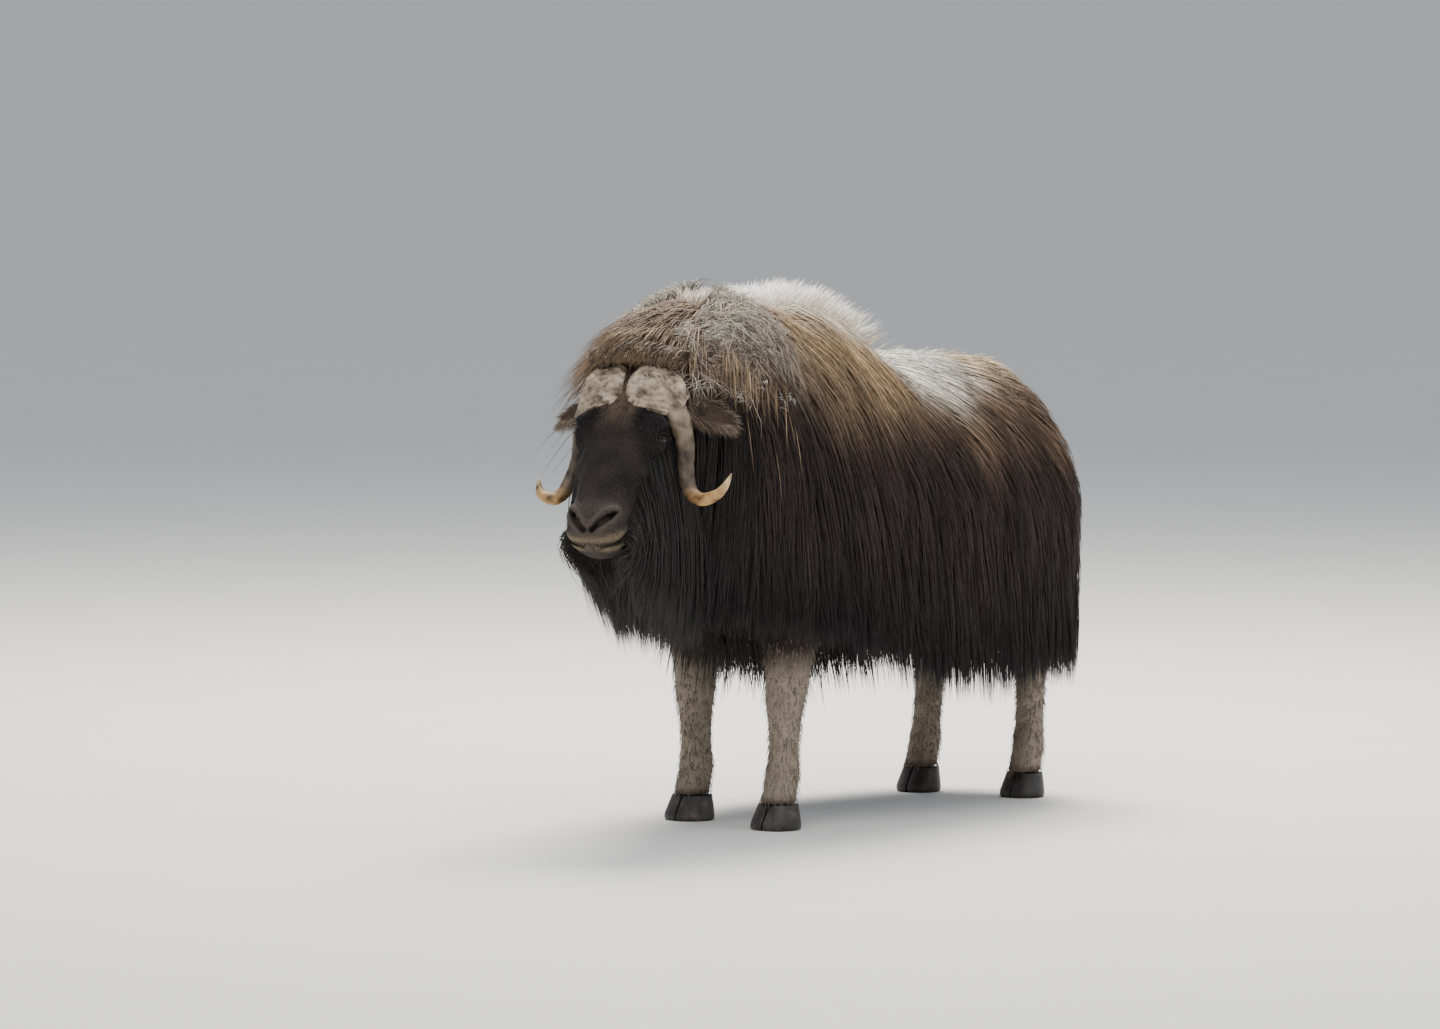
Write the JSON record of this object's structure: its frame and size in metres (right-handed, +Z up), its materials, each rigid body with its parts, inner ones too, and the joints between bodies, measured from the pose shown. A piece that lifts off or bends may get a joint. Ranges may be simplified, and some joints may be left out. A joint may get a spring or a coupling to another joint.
{
  "type": "muskox model",
  "caption": "Life-size standing muskox bull with a long hanging coat, humped shoulders, broad horn boss and horns hooked up at the tips.",
  "frame": {"origin": "on the ground under the middle of the animal's box", "axes": "+Z up, the animal faces -Y, its left side is +X"},
  "size_m": [0.8467, 2.1507, 1.4675],
  "materials": {
    "coat_dark": "long dark brown guard hair, nearly black low down",
    "coat_pale": "short cream wool and hair of the saddle",
    "mane": "tan mane, cream along the crest, brown below",
    "face": "short dark face hair, paler at the lips",
    "leg": "short pale grey-tan leg hair",
    "horn": "rough grey boss, smooth golden horn with darker tip",
    "hoof": "worn black horn",
    "eye": "wet dark brown"
  },
  "bodies": {
    "root": {"head": "face", "jaw": "face", "horn_left": "horn", "horn_right": "horn", "eye_left": "eye", "eye_right": "eye", "ear_left": "face", "ear_right": "face", "beard": "coat_dark", "neck_left": "mane", "neck_right": "mane", "hump": "mane", "shoulder_left": "coat_dark", "shoulder_right": "coat_dark", "back": "coat_pale", "flank_left": "coat_dark", "flank_right": "coat_dark", "rump": "coat_dark", "haunch_left": "coat_dark", "haunch_right": "coat_dark", "tail": "coat_dark", "foreleg_left": "leg", "hoof_foreleg_left_outer": "hoof", "hoof_foreleg_left_inner": "hoof", "foreleg_right": "leg", "hoof_foreleg_right_outer": "hoof", "hoof_foreleg_right_inner": "hoof", "hindleg_left": "leg", "hoof_hindleg_left_outer": "hoof", "hoof_hindleg_left_inner": "hoof", "hindleg_right": "leg", "hoof_hindleg_right_outer": "hoof", "hoof_hindleg_right_inner": "hoof"}
  },
  "joints": []
}
